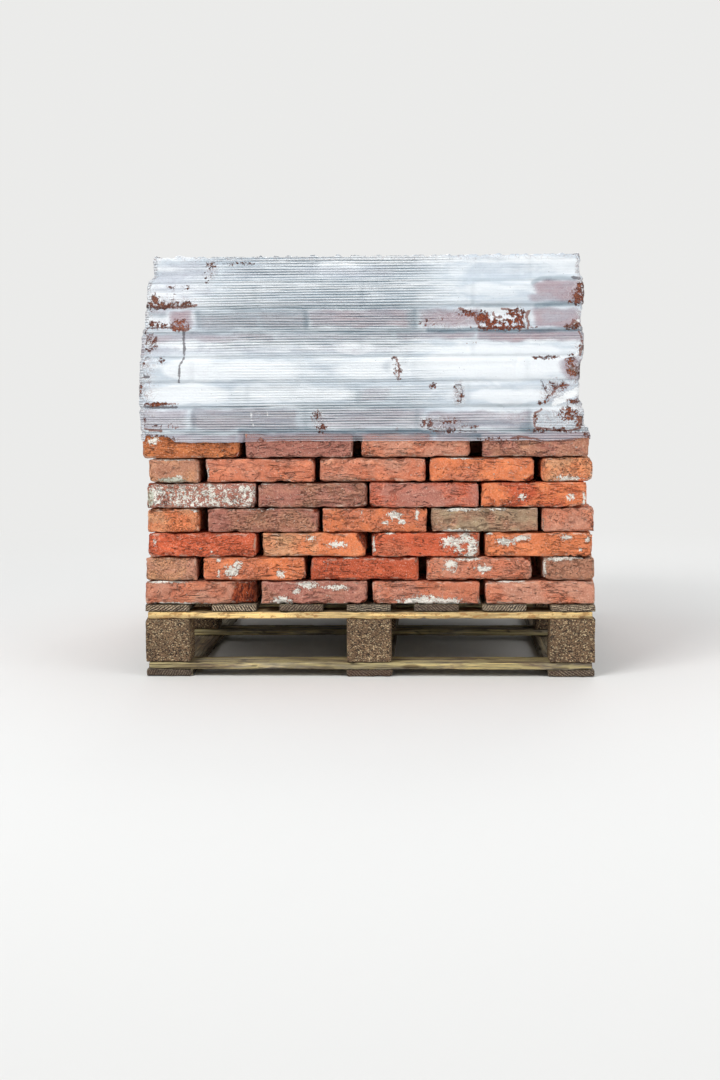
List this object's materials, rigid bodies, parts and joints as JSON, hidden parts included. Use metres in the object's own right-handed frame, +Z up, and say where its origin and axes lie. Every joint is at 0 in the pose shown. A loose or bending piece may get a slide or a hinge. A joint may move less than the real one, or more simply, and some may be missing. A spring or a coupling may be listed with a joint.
{
  "type": "pallet of bricks",
  "caption": "Square wooden block pallet loaded with courses of old hand-moulded bricks in a ring bond, the upper half wrapped in white stretch film.",
  "frame": {"origin": "on the floor under the middle of the pallet", "axes": "+Z up; +X to the right along the pictured front, which faces -Y; +Y to the back"},
  "size_m": [1.006, 1, 0.9243],
  "materials": {
    "brick": "matte",
    "chipboard": "matte",
    "weathered_wood": "matte",
    "fresh_wood": "matte",
    "film": "satin"
  },
  "bodies": {
    "root": {"base_board_back": "weathered_wood", "base_board_front": "weathered_wood", "base_board_middle": "weathered_wood", "block_back_left": "chipboard", "block_back_middle": "chipboard", "block_back_right": "chipboard", "block_front_left": "chipboard", "block_front_middle": "chipboard", "block_front_right": "chipboard", "block_middle_left": "chipboard", "block_middle_middle": "chipboard", "block_middle_right": "chipboard", "brick_core": "brick", "brick_course_01": "brick", "brick_course_02": "brick", "brick_course_03": "brick", "brick_course_04": "brick", "brick_course_05": "brick", "brick_course_06": "brick", "brick_course_07": "brick", "brick_course_08": "brick", "brick_course_09": "brick", "brick_course_10": "brick", "brick_course_11": "brick", "brick_course_12": "brick", "brick_course_13": "brick", "brick_course_14": "brick", "deck_board_1": "weathered_wood", "deck_board_2": "weathered_wood", "deck_board_3": "weathered_wood", "deck_board_4": "weathered_wood", "deck_board_5": "weathered_wood", "deck_board_6": "weathered_wood", "deck_board_7": "weathered_wood", "skid_left": "weathered_wood", "skid_middle": "weathered_wood", "skid_right": "weathered_wood", "stretch_film": "film", "stringer_back": "weathered_wood", "stringer_front": "fresh_wood", "stringer_middle": "weathered_wood"}
  },
  "joints": []
}
